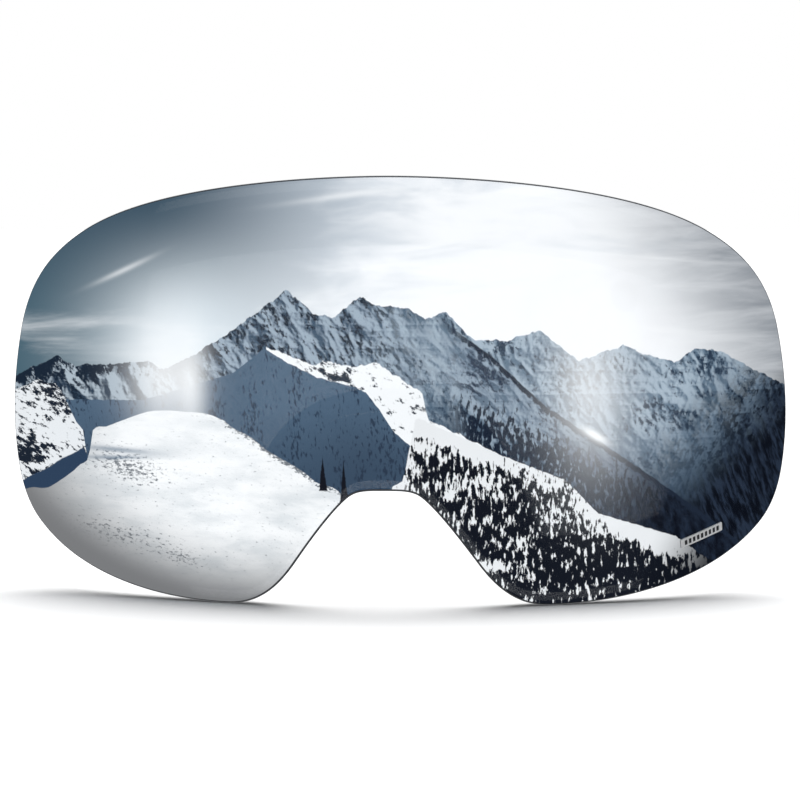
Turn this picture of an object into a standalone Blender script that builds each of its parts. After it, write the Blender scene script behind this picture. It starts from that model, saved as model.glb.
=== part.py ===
"""Quick-change lens unit for a pair of frameless over-glasses ski goggles, in metres, +Z up.

The mirrored face looks towards -Y and the wearer's face is towards +Y, so the wearer's left is +X.
Every layer follows one doubly curved sheet. A place on it is given by u, the length along the wrap
from the middle, v, the length up the rise, and depth, the distance behind the mirrored face. Each
piece is drawn flat in u, v and depth, and is then wrapped on to the sheet.
"""

import math

import bmesh
import bpy
from mathutils import Matrix, Vector

MM = 0.001

# The sheet that all layers follow.
WRAP_RADIUS = 113 * MM  # of the mirrored face, seen from above
RISE_RADIUS = 140 * MM  # of the mirrored face, seen from the side

# Right half of the mirrored lens's edge, from the middle of the brow round to the middle of the nose.
# Each anchor: u, v, heading in degrees, length of the handle before it and of the handle after it.
HALF_EDGE = (
    (0, 50.0, 0, 0, 21),  # middle of the brow
    (84, 36.8, -26, 24, 12),  # brow corner
    (104.7, 13.5, -79, 12, 9),  # upper temple
    (107.9, -14, -90, 9, 6),  # widest point
    (102, -32.5, -138, 8, 18),  # cheek corner
    (41, -50, 180, 22, 9),  # lowest point of the lobe
    (22, -39.3, 128, 7, 6),  # flank of the nose
    (8.5, -23.6, 142, 4.5, 2.5),  # shoulder of the nose arch
    (0, -22, 180, 4.5, 0),  # middle of the nose arch
)
STEP_LENGTH = 11 * MM  # longest straight step along an edge
STEP_TURN = 14  # degrees that one step of an edge turns through
FACE_GRID = 8 * MM  # spacing of the facets on a curved face
SNAP = 0.15 * MM  # a facet line this close to a corner runs through the corner

# How far the pieces reach back from the mirrored face.
LENS_THICKNESS = 2.0 * MM
FILM_GAP = 0.15 * MM  # between a tape and what it sticks to
BOND_TAPE = 0.3 * MM
CARRIER_BACK = 7.6 * MM
GASKET_TAPE = 0.2 * MM
GASKET_THICKNESS = 4.0 * MM
INNER_LENS_THICKNESS = 1.0 * MM

# How far the pieces stand in from the mirrored lens's edge.
CARRIER_INSET = 1.8 * MM
CARRIER_WIDTH = 7.2 * MM
BOND_MARGIN = 0.8 * MM  # of carrier left bare beside its tape
GASKET_INSET = 9.8 * MM
GASKET_WIDTH = 5.0 * MM
INNER_LENS_INSET = 9.6 * MM
NOSE_RISE = 8.0 * MM  # extra inset over the nose, where the goggle's nose foam needs room
NOSE_REACH = 46 * MM  # length of edge, from the middle of the nose, over which that extra fades out

EDGE_BREAK = 0.3 * MM  # chamfer on the lenses' edges
CARRIER_BREAK = 0.5 * MM

# Magnets: blocks pressed into pockets in the back of the carrier.
MAGNET = Vector((10, 4, 2)) * MM  # along the edge, across it and deep
MAGNET_PROUD = 0.2 * MM
POCKET_PLAY = 0.15 * MM
MAGNET_BREAK = 0.2 * MM
MAGNET_PLACES = {  # share of the half edge, from the middle of the brow to the middle of the nose
    "brow_inner": 0.085,
    "brow_outer": 0.255,
    "temple_upper": 0.415,
    "temple_lower": 0.53,
    "cheek": 0.69,
    "nose": 0.885,
}

# Lugs moulded on the back of the carrier, which key it into the goggle's frame.
LUG_ROOT = 1.0 * MM  # sunk into the carrier
BROW_PEG_PLACE, BROW_PEG_RADIUS, BROW_PEG_HEIGHT = 0.17, 1.6 * MM, 2.2 * MM
TEMPLE_HOOK_PLACE, TEMPLE_HOOK = 0.473, Vector((9, 2.4, 3.0)) * MM
NOSE_TAB = Vector((11, 2.2, 2.4)) * MM
NOSE_TAB_INSET = 5.5 * MM

# Breather in the inner lens, high on the wearer's left.
VENT_U, VENT_V = 62 * MM, 23 * MM
VENT_HOLE_RADIUS = 0.8 * MM
VENT_RADIUS, VENT_RING_BORE = 4.0 * MM, 2.2 * MM
VENT_RING_THICKNESS, VENT_SKIN_THICKNESS = 0.15 * MM, 0.25 * MM
VENT_SIDES = 24

# Foil badge on the mirrored face, at the wearer's left cheek.
BADGE_U, BADGE_V, BADGE_TURN = 81.3 * MM, -34.4 * MM, 17
BADGE_LENGTH, BADGE_HEIGHT, BADGE_THICKNESS = 13 * MM, 2.1 * MM, 0.1 * MM
BADGE_GAP = 0.06 * MM


# ---------------------------------------------------------------- the sheet and its edge


def wrapped(u, v, depth):
    """The place in space of a point of the flat drawing."""
    rise = RISE_RADIUS - depth
    reach = WRAP_RADIUS - RISE_RADIUS + rise * math.cos(v / RISE_RADIUS)
    turn, height = u / WRAP_RADIUS, rise * math.sin(v / RISE_RADIUS)
    return Vector((reach * math.sin(turn), WRAP_RADIUS - reach * math.cos(turn), height))


def seat(u, v, depth, heading):
    """A frame on the sheet: X along the heading, Z straight back, away from the mirrored face."""
    turn, tilt = u / WRAP_RADIUS, v / RISE_RADIUS
    along = Vector((math.cos(turn), math.sin(turn), 0))
    up = Vector((-math.sin(tilt) * math.sin(turn), math.sin(tilt) * math.cos(turn), math.cos(tilt)))
    back = Vector((-math.cos(tilt) * math.sin(turn), math.cos(tilt) * math.cos(turn), -math.sin(tilt)))
    squeeze = (WRAP_RADIUS - RISE_RADIUS + RISE_RADIUS * math.cos(tilt)) / WRAP_RADIUS
    x_axis = (along * math.cos(heading) * squeeze + up * math.sin(heading)).normalized()
    y_axis = back.cross(x_axis)
    turned = Matrix((x_axis, y_axis, back)).transposed().to_4x4()
    return Matrix.Translation(wrapped(u, v, depth)) @ turned


def edge_stretch(start, end):
    """Places and headings along one cubic stretch of the edge, without its last point."""
    first, last = Vector(start[:2]) * MM, Vector(end[:2]) * MM
    leads = [Vector((math.cos(math.radians(a[2])), math.sin(math.radians(a[2])))) for a in (start, end)]
    second, third = first + leads[0] * start[4] * MM, last - leads[1] * end[3] * MM
    turn = abs((end[2] - start[2] + 180) % 360 - 180)
    steps = math.ceil((last - first).length / STEP_LENGTH + turn / STEP_TURN)
    for step in range(steps):
        t = step / steps
        s = 1 - t
        place = s**3 * first + 3 * s * s * t * second + 3 * s * t * t * third + t**3 * last
        run = s * s * (second - first) + 2 * s * t * (third - second) + t * t * (last - third)
        yield place, math.atan2(run.y, run.x)


def half_edge():
    """Stations (place, heading, length from the brow) down the right half of the edge."""
    stations = [station for pair in zip(HALF_EDGE, HALF_EDGE[1:]) for station in edge_stretch(*pair)]
    stations.append((Vector(HALF_EDGE[-1][:2]) * MM, math.pi))
    length, walked = 0, [0]
    for (before, _), (after, _) in zip(stations, stations[1:]):
        length += (after - before).length
        walked.append(length)
    return [(place, heading, run) for (place, heading), run in zip(stations, walked)]


EDGE = half_edge()
HALF_LENGTH = EDGE[-1][2]


def inset_point(place, heading, run, inset, nose_share):
    """The point inset from an edge station, with its share of the extra rise over the nose."""
    from_nose = (HALF_LENGTH - run) / NOSE_REACH
    extra = NOSE_RISE * (1 + math.cos(math.pi * min(from_nose, 1))) / 2
    return place + Vector((math.sin(heading), -math.cos(heading))) * (inset + nose_share * extra)


def outline(inset, nose_share=0):
    """The whole closed edge, moved in by inset, as a list of (u, v) points."""
    right = [inset_point(*station, inset, nose_share) for station in EDGE]
    left = [Vector((-point.x, point.y)) for point in reversed(right[1:-1])]
    return right + left


def edge_place(share, inset):
    """The point and heading at a share of the half edge's length, moved in by inset."""
    wanted = share * HALF_LENGTH
    index = next(i for i, station in enumerate(EDGE) if station[2] >= wanted)
    before, after = EDGE[index - 1], EDGE[index]
    part = (wanted - before[2]) / (after[2] - before[2])
    turn = (after[1] - before[1] + math.pi) % (2 * math.pi) - math.pi
    point = inset_point(*before, inset, 0).lerp(inset_point(*after, inset, 0), part)
    return point, before[1] + turn * part


# ---------------------------------------------------------------- making solids


def finish(name, mesh_maker, colour, roughness, metallic=0, alpha=1):
    """A named object with its own material, from a filled bmesh."""
    bmesh.ops.recalc_face_normals(mesh_maker, faces=mesh_maker.faces[:])
    if mesh_maker.calc_volume(signed=True) < 0:
        bmesh.ops.reverse_faces(mesh_maker, faces=mesh_maker.faces[:])
    mesh = bpy.data.meshes.new(name)
    mesh_maker.to_mesh(mesh)
    mesh_maker.free()
    mesh.shade_smooth()
    mesh.set_sharp_from_angle(angle=math.radians(35))
    piece = bpy.data.objects.new(name, mesh)
    bpy.context.collection.objects.link(piece)
    material = bpy.data.materials.new(name)
    material.use_nodes = True
    shader = material.node_tree.nodes["Principled BSDF"]
    shader.inputs["Base Color"].default_value = (*colour, 1)
    shader.inputs["Roughness"].default_value = roughness
    shader.inputs["Metallic"].default_value = metallic
    shader.inputs["Alpha"].default_value = alpha
    mesh.materials.append(material)
    return piece


def wrap_all(flat):
    """Triangulate a flat drawing and wrap it on to the sheet."""
    bmesh.ops.triangulate(flat, faces=flat.faces[:])
    for vert in flat.verts:
        vert.co = wrapped(*vert.co)


def plate(loops):
    """A sheet piece. Loops are (outline, depth), from the front face's edge to the back face's edge."""
    flat = bmesh.new()
    rows = [[flat.verts.new((u, v, depth)) for u, v in points] for points, depth in loops]
    flat.faces.new(rows[0])
    flat.faces.new(rows[-1])
    bridge(flat, rows)
    for axis in (0, 1):
        normal = [0, 0, 0]
        normal[axis] = 1
        reach = max(abs(vert.co[axis]) for vert in flat.verts)
        lines = int(reach / FACE_GRID)
        for line in range(-lines, lines + 1):
            spot = [0, 0, 0]
            spot[axis] = line * FACE_GRID
            geometry = flat.verts[:] + flat.edges[:] + flat.faces[:]
            bmesh.ops.bisect_plane(flat, geom=geometry, dist=SNAP, plane_co=spot, plane_no=normal)
    wrap_all(flat)
    return flat


def ring(loops):
    """A closed ring piece. Loops are (outline, depth), in order once round the ring's section."""
    flat = bmesh.new()
    rows = [[flat.verts.new((u, v, depth)) for u, v in points] for points, depth in loops]
    bridge(flat, rows + rows[:1])
    wrap_all(flat)
    return flat


def bridge(flat, rows):
    """Quads between each row of points and the next."""
    for upper, lower in zip(rows, rows[1:]):
        for i in range(len(upper)):
            j = (i + 1) % len(upper)
            flat.faces.new((upper[i], upper[j], lower[j], lower[i]))


def edge_ring(outer, inner, front, back, nose_share, corner=0):
    """Loops of a ring from outer to inner inset and front to back depth, with chamfered corners."""
    if not corner:
        section = ((outer, front), (inner, front), (inner, back), (outer, back))
    else:
        section = (
            (outer + corner, front),
            (inner - corner, front),
            (inner, front + corner),
            (inner, back - corner),
            (inner - corner, back),
            (outer + corner, back),
            (outer, back - corner),
            (outer, front + corner),
        )
    middle = (outer + inner) / 2
    return [(outline(inset, nose_share if inset > middle else 0), depth) for inset, depth in section]


def circle(u, v, radius):
    """A round outline in the flat drawing."""
    turns = (2 * math.pi * side / VENT_SIDES for side in range(VENT_SIDES))
    return [Vector((u + radius * math.cos(turn), v + radius * math.sin(turn))) for turn in turns]


def block(solid, size, place):
    """Add a block of this size, centred on place."""
    bmesh.ops.create_cube(solid, size=1, matrix=place @ Matrix.Diagonal((*size, 1)))


def cutter(name, mesh_maker, target, operation):
    """A guide object that adds to or cuts from the target, and isn't a piece itself."""
    guide = finish(name, mesh_maker, (0.8, 0.2, 0.2), 0.5)
    guide.hide_render = True
    guide.display_type = "WIRE"
    change = target.modifiers.new(name, "BOOLEAN")
    change.operation = operation
    change.solver = "EXACT"
    change.object = guide


# ---------------------------------------------------------------- the pieces

BOND_FRONT = LENS_THICKNESS + FILM_GAP
CARRIER_FRONT = BOND_FRONT + BOND_TAPE + FILM_GAP
GASKET_FRONT = LENS_THICKNESS + GASKET_TAPE + 2 * FILM_GAP
GASKET_BACK = GASKET_FRONT + GASKET_THICKNESS
REAR_TAPE_FRONT = GASKET_BACK + FILM_GAP
INNER_LENS_FRONT = REAR_TAPE_FRONT + GASKET_TAPE + FILM_GAP
INNER_LENS_BACK = INNER_LENS_FRONT + INNER_LENS_THICKNESS


def lens_loops(inset, nose_share, front, thickness):
    """Loops of a lens with both its edges broken."""
    broken, full = outline(inset + EDGE_BREAK, nose_share), outline(inset, nose_share)
    back = front + thickness
    return [(broken, front), (full, front + EDGE_BREAK), (full, back - EDGE_BREAK), (broken, back)]


def make_outer_lens():
    loops = lens_loops(0, 0, 0, LENS_THICKNESS)
    return finish("outer_lens", plate(loops), (0.55, 0.6, 0.65), 0.03, 1)


def make_bond_tape():
    inner = CARRIER_INSET + CARRIER_WIDTH - BOND_MARGIN
    loops = edge_ring(CARRIER_INSET + BOND_MARGIN, inner, BOND_FRONT, BOND_FRONT + BOND_TAPE, 1)
    return finish("carrier_bond_tape", ring(loops), (0.05, 0.05, 0.05), 0.6)


def make_carrier():
    loops = edge_ring(
        CARRIER_INSET, CARRIER_INSET + CARRIER_WIDTH, CARRIER_FRONT, CARRIER_BACK, 1, CARRIER_BREAK
    )
    carrier = finish("magnet_carrier", ring(loops), (0.02, 0.02, 0.022), 0.55)
    cutter("carrier_lugs", carrier_lugs(), carrier, "UNION")
    cutter("magnet_pockets", magnet_pockets(), carrier, "DIFFERENCE")
    return carrier


def carrier_lugs():
    """Pegs, hooks and the nose tab, each rooted in the carrier."""
    lugs = bmesh.new()
    middle = CARRIER_INSET + CARRIER_WIDTH / 2
    for side in (1, -1):
        point, heading = edge_place(BROW_PEG_PLACE, middle)
        height = BROW_PEG_HEIGHT + LUG_ROOT
        at = mirrored_seat(point, heading, CARRIER_BACK - LUG_ROOT + height / 2, side)
        bmesh.ops.create_cone(
            lugs, cap_ends=True, segments=16, radius1=BROW_PEG_RADIUS, radius2=BROW_PEG_RADIUS * 0.85,
            depth=height, matrix=at,
        )
        point, heading = edge_place(TEMPLE_HOOK_PLACE, middle)
        size = TEMPLE_HOOK + Vector((0, 0, LUG_ROOT))
        block(lugs, size, mirrored_seat(point, heading, CARRIER_BACK - LUG_ROOT + size.z / 2, side))
    size = NOSE_TAB + Vector((0, 0, LUG_ROOT))
    point = Vector(HALF_EDGE[-1][:2]) * MM + Vector((0, NOSE_TAB_INSET))
    block(lugs, size, seat(*point, CARRIER_BACK - LUG_ROOT + size.z / 2, 0))
    return lugs


def mirrored_seat(point, heading, depth, side):
    """A frame on the wearer's left (side 1) or right (side -1)."""
    if side > 0:
        return seat(*point, depth, heading)
    return seat(-point.x, point.y, depth, math.pi - heading)


def magnet_seat(place, side, depth):
    """Where a magnet sits, with its middle at this depth."""
    point, heading = edge_place(MAGNET_PLACES[place], CARRIER_INSET + CARRIER_WIDTH / 2)
    return mirrored_seat(point, heading, depth, side)


def magnet_pockets():
    """Blocks that hollow the pockets out through the carrier's back."""
    pockets = bmesh.new()
    floor = CARRIER_BACK + MAGNET_PROUD - MAGNET.z - POCKET_PLAY
    top = CARRIER_BACK + MAGNET.z
    size = Vector((MAGNET.x + 2 * POCKET_PLAY, MAGNET.y + 2 * POCKET_PLAY, top - floor))
    for place in MAGNET_PLACES:
        for side in (1, -1):
            block(pockets, size, magnet_seat(place, side, (floor + top) / 2))
    return pockets


def make_magnets():
    magnets = []
    for place in MAGNET_PLACES:
        for side, word in ((1, "left"), (-1, "right")):
            body = bmesh.new()
            block(body, MAGNET, Matrix())
            bmesh.ops.bevel(body, geom=body.edges[:], offset=MAGNET_BREAK, segments=1, affect="EDGES")
            magnet = finish(f"magnet_{place}_{word}", body, (0.75, 0.74, 0.7), 0.22, 1)
            magnet.matrix_world = magnet_seat(place, side, CARRIER_BACK + MAGNET_PROUD - MAGNET.z / 2)
            magnets.append(magnet)
    return magnets


def make_gasket_front_tape():
    inner = GASKET_INSET + GASKET_WIDTH
    front = LENS_THICKNESS + FILM_GAP
    loops = gasket_loops(GASKET_INSET, inner, front, front + GASKET_TAPE)
    return finish("gasket_front_tape", ring(loops), (0.75, 0.74, 0.7), 0.5)


def make_spacer_gasket():
    loops = gasket_loops(GASKET_INSET, GASKET_INSET + GASKET_WIDTH, GASKET_FRONT, GASKET_BACK)
    return finish("spacer_gasket", ring(loops), (0.03, 0.03, 0.03), 0.9)


def make_gasket_rear_tape():
    inner = GASKET_INSET + GASKET_WIDTH
    loops = gasket_loops(GASKET_INSET, inner, REAR_TAPE_FRONT, REAR_TAPE_FRONT + GASKET_TAPE)
    return finish("gasket_rear_tape", ring(loops), (0.75, 0.74, 0.7), 0.5)


def gasket_loops(outer, inner, front, back):
    """Loops of a ring that takes the whole nose rise on both of its sides."""
    section = ((outer, front), (inner, front), (inner, back), (outer, back))
    return [(outline(inset, 1), depth) for inset, depth in section]


def make_inner_lens():
    loops = lens_loops(INNER_LENS_INSET, 1, INNER_LENS_FRONT, INNER_LENS_THICKNESS)
    lens = finish("inner_lens", plate(loops), (0.5, 0.48, 0.45), 0.05, 0, 0.35)
    drill = bmesh.new()
    bmesh.ops.create_cone(
        drill, cap_ends=True, segments=VENT_SIDES, radius1=VENT_HOLE_RADIUS, radius2=VENT_HOLE_RADIUS,
        depth=4 * INNER_LENS_THICKNESS, matrix=seat(VENT_U, VENT_V, INNER_LENS_BACK, 0),
    )
    cutter("vent_drill", drill, lens, "DIFFERENCE")
    return lens


def make_vent_ring():
    front = INNER_LENS_BACK + FILM_GAP
    thick = VENT_RING_THICKNESS
    section = ((VENT_RADIUS, 0), (VENT_RING_BORE, 0), (VENT_RING_BORE, thick), (VENT_RADIUS, thick))
    loops = [(circle(VENT_U, VENT_V, radius), front + back) for radius, back in section]
    return finish("vent_adhesive_ring", ring(loops), (0.8, 0.8, 0.78), 0.5)


def make_vent_membrane():
    front = INNER_LENS_BACK + 2 * FILM_GAP + VENT_RING_THICKNESS
    disc = circle(VENT_U, VENT_V, VENT_RADIUS)
    loops = [(disc, front), (disc, front + VENT_SKIN_THICKNESS)]
    return finish("vent_membrane", plate(loops), (0.9, 0.9, 0.9), 0.7)


def make_badge():
    """A rounded foil strip."""
    turn = math.radians(BADGE_TURN)
    along, up = Vector((math.cos(turn), math.sin(turn))), Vector((-math.sin(turn), math.cos(turn)))
    radius = BADGE_HEIGHT / 8
    corners = []
    for across, rise, start in ((1, 1, 0), (-1, 1, 90), (-1, -1, 180), (1, -1, 270)):
        centre = along * across * (BADGE_LENGTH / 2 - radius) + up * rise * (BADGE_HEIGHT / 2 - radius)
        for step in range(4):
            bend = math.radians(start + 30 * step) + turn
            spot = centre + Vector((math.cos(bend), math.sin(bend))) * radius
            corners.append(spot + Vector((BADGE_U, BADGE_V)))
    loops = [(corners, -BADGE_GAP - BADGE_THICKNESS), (corners, -BADGE_GAP)]
    return finish("corner_badge", plate(loops), (0.7, 0.71, 0.72), 0.3, 0.8)


def centre_on_origin(pieces):
    """Move everything so that the middle of the pieces' box is the origin."""
    bpy.context.view_layer.update()
    corners = [piece.matrix_world @ Vector(corner) for piece in pieces for corner in piece.bound_box]
    low = Vector(min(corner[axis] for corner in corners) for axis in range(3))
    high = Vector(max(corner[axis] for corner in corners) for axis in range(3))
    for thing in bpy.context.collection.objects:
        thing.location -= (low + high) / 2


def build():
    for thing in list(bpy.data.objects):
        bpy.data.objects.remove(thing, do_unlink=True)
    pieces = [
        make_outer_lens(),
        make_bond_tape(),
        make_carrier(),
        *make_magnets(),
        make_gasket_front_tape(),
        make_spacer_gasket(),
        make_gasket_rear_tape(),
        make_inner_lens(),
        make_vent_ring(),
        make_vent_membrane(),
        make_badge(),
    ]
    centre_on_origin(pieces)


build()
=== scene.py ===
import math

import bmesh
import bpy
from mathutils import Matrix, Vector


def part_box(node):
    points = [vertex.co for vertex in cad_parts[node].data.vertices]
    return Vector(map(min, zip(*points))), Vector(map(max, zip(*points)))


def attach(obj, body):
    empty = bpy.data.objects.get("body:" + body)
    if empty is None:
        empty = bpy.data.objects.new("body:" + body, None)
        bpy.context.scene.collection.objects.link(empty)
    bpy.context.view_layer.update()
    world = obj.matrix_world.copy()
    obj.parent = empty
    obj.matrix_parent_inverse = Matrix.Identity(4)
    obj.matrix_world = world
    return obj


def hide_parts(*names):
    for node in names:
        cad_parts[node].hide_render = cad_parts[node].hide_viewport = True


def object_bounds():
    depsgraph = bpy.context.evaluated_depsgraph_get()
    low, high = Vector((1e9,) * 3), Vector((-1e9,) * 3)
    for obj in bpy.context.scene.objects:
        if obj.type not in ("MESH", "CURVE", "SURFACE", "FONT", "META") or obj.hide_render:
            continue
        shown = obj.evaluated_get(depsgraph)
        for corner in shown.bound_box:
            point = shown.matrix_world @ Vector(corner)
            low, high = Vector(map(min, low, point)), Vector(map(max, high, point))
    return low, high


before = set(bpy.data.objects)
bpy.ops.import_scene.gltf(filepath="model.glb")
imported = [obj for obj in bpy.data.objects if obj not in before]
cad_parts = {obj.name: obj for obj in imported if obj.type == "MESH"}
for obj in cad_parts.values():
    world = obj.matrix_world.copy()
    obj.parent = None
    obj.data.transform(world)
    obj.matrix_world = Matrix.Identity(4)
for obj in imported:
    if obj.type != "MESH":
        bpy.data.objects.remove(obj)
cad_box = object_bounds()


# ------------------------------------------------------------------ mirrored outer lens
# A 2 mm polycarbonate shell, moulded to two radii and cut to shape on a mill. Its face has a silver
# vacuum mirror that stops just short of the edge, and its back is lightly smoked.

MM = 0.001
WRAP_RADIUS, RISE_RADIUS = 113 * MM, 140 * MM
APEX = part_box("outer_lens")[0].y
HALF_EDGE = (  # u, v, heading, handle before, handle after, from the brow to the nose
    (0, 50.0, 0, 0, 21),
    (84, 36.8, -26, 24, 12),
    (104.7, 13.5, -79, 12, 9),
    (107.9, -14, -90, 9, 6),
    (102, -32.5, -138, 8, 18),
    (41, -50, 180, 22, 9),
    (22, -39.3, 128, 7, 6),
    (8.5, -23.6, 142, 4.5, 2.5),
    (0, -22, 180, 4.5, 0),
)
NOSE_RISE, NOSE_REACH = 8 * MM, 46 * MM
LENS_THICKNESS = 2 * MM
LENS_CHAMFER = 0.3 * MM
BARE_RIM = 0.5 * MM
LENS_GRID = 3.5 * MM
FILM_GAP = 0.15 * MM


def sheet(u, v, depth):
    """The place in space of a point drawn flat: u along the wrap, v up the rise, depth behind the face."""
    rise = RISE_RADIUS - depth
    reach = WRAP_RADIUS - RISE_RADIUS + rise * math.cos(v / RISE_RADIUS)
    turn, height = u / WRAP_RADIUS, rise * math.sin(v / RISE_RADIUS)
    return Vector((reach * math.sin(turn), APEX + WRAP_RADIUS - reach * math.cos(turn), height))


def straight_back(place):
    """The direction square to the sheet and away from its face, at a place in space."""
    turn = math.atan2(place.x, WRAP_RADIUS + APEX - place.y)
    reach = math.hypot(place.x, WRAP_RADIUS + APEX - place.y)
    tilt = math.atan2(place.z, reach - WRAP_RADIUS + RISE_RADIUS)
    return Vector((-math.cos(tilt) * math.sin(turn), math.cos(tilt) * math.cos(turn), -math.sin(tilt)))


def stations(step_length, step_turn):
    """Points (place, heading, length from the brow) down the wearer's left half of the lens's edge."""
    points, headings = [], []
    for start, end in zip(HALF_EDGE, HALF_EDGE[1:]):
        first, last = Vector(start[:2]) * MM, Vector(end[:2]) * MM
        leads = [Vector((math.cos(math.radians(a[2])), math.sin(math.radians(a[2])))) for a in (start, end)]
        second, third = first + leads[0] * start[4] * MM, last - leads[1] * end[3] * MM
        bend = abs((end[2] - start[2] + 180) % 360 - 180)
        steps = math.ceil((last - first).length / step_length + bend / step_turn)
        for step in range(steps):
            t = step / steps
            s = 1 - t
            points.append(s**3 * first + 3 * s * s * t * second + 3 * s * t * t * third + t**3 * last)
            run = s * s * (second - first) + 2 * s * t * (third - second) + t * t * (last - third)
            headings.append(math.atan2(run.y, run.x))
    points.append(Vector(HALF_EDGE[-1][:2]) * MM)
    headings.append(math.pi)
    lengths = [0]
    for before, after in zip(points, points[1:]):
        lengths.append(lengths[-1] + (after - before).length)
    return list(zip(points, headings, lengths))


FINE_EDGE = stations(2.2 * MM, 3)
FITTING_EDGE = stations(11 * MM, 14)  # the coarser one that the CAD's magnets and lugs are set out on


def inset_point(edge, index, inset, nose_share=0):
    """A station of an edge moved in by inset, with its share of the rise over the nose."""
    place, heading, run = edge[index]
    from_nose = min((edge[-1][2] - run) / NOSE_REACH, 1)
    inset += nose_share * NOSE_RISE * (1 + math.cos(math.pi * from_nose)) / 2
    return place + Vector((math.sin(heading), -math.cos(heading))) * inset


def outline(inset, nose_share=0):
    """The whole closed edge, moved in."""
    left = [inset_point(FINE_EDGE, index, inset, nose_share) for index in range(len(FINE_EDGE))]
    return left + [Vector((-point.x, point.y)) for point in reversed(left[1:-1])]


def bands(flat, rows, zones):
    """Quads between each row of points and the next, each band with its own finish number."""
    for upper, lower, zone in zip(rows, rows[1:], zones):
        for i in range(len(upper)):
            j = (i + 1) % len(upper)
            flat.faces.new((upper[i], upper[j], lower[j], lower[i])).material_index = zone


def drawn_rows(flat, loops):
    return [[flat.verts.new((point.x, point.y, depth)) for point in points] for points, depth in loops]


def to_sheet(flat):
    """Triangulate a flat drawing, wrap it on to the sheet and turn its faces outwards."""
    bmesh.ops.triangulate(flat, faces=flat.faces[:])
    for vert in flat.verts:
        vert.co = sheet(*vert.co)
    bmesh.ops.recalc_face_normals(flat, faces=flat.faces[:])
    if flat.calc_volume(signed=True) < 0:
        bmesh.ops.reverse_faces(flat, faces=flat.faces[:])


def plate(loops, zones, grid):
    """A sheet piece from its front edge to its back edge. Zones: front, one for each band, back."""
    flat = bmesh.new()
    rows = drawn_rows(flat, loops)
    flat.faces.new(rows[0]).material_index = zones[0]
    flat.faces.new(rows[-1]).material_index = zones[-1]
    bands(flat, rows, zones[1:-1])
    for axis in (0, 1):
        across = Vector([axis == 0, axis == 1, 0])
        lines = int(max(abs(vert.co[axis]) for vert in flat.verts) / grid)
        for line in range(-lines, lines + 1):
            parts = flat.verts[:] + flat.edges[:] + flat.faces[:]
            spot = across * line * grid
            bmesh.ops.bisect_plane(flat, geom=parts, dist=0.1 * MM, plane_co=spot, plane_no=across)
    to_sheet(flat)
    return flat


def ring(loops, zone=0):
    """A closed ring. The loops go once round its section."""
    flat = bmesh.new()
    rows = drawn_rows(flat, loops)
    bands(flat, rows + rows[:1], [zone] * len(rows))
    to_sheet(flat)
    return flat


def piece(name, solid, finishes, sharp=32):
    """A mesh object from a bmesh, with its finishes in order."""
    mesh = bpy.data.meshes.new(name)
    solid.to_mesh(mesh)
    solid.free()
    mesh.shade_smooth()
    mesh.set_sharp_from_angle(angle=math.radians(sharp))
    for finish in finishes:
        mesh.materials.append(finish)
    made = bpy.data.objects.new(name, mesh)
    bpy.context.collection.objects.link(made)
    return made


def true_curve(made, faces):
    """Give the optical faces the sheet's own normals, so that nothing bends what they reflect."""
    mesh = made.data
    normals = [Vector(corner.vector) for corner in mesh.corner_normals]
    for polygon in mesh.polygons:
        if polygon.material_index in faces:
            for loop in polygon.loop_indices:
                normal = straight_back(mesh.vertices[mesh.loops[loop].vertex_index].co)
                normals[loop] = normal if normal.dot(polygon.normal) > 0 else -normal
    mesh.normals_split_custom_set(normals)


def settle(made, node=None):
    """Fix a finished piece to the unit's one rigid body, in place of its CAD solid."""
    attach(made, "root")
    if node:
        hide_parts(node)


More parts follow.
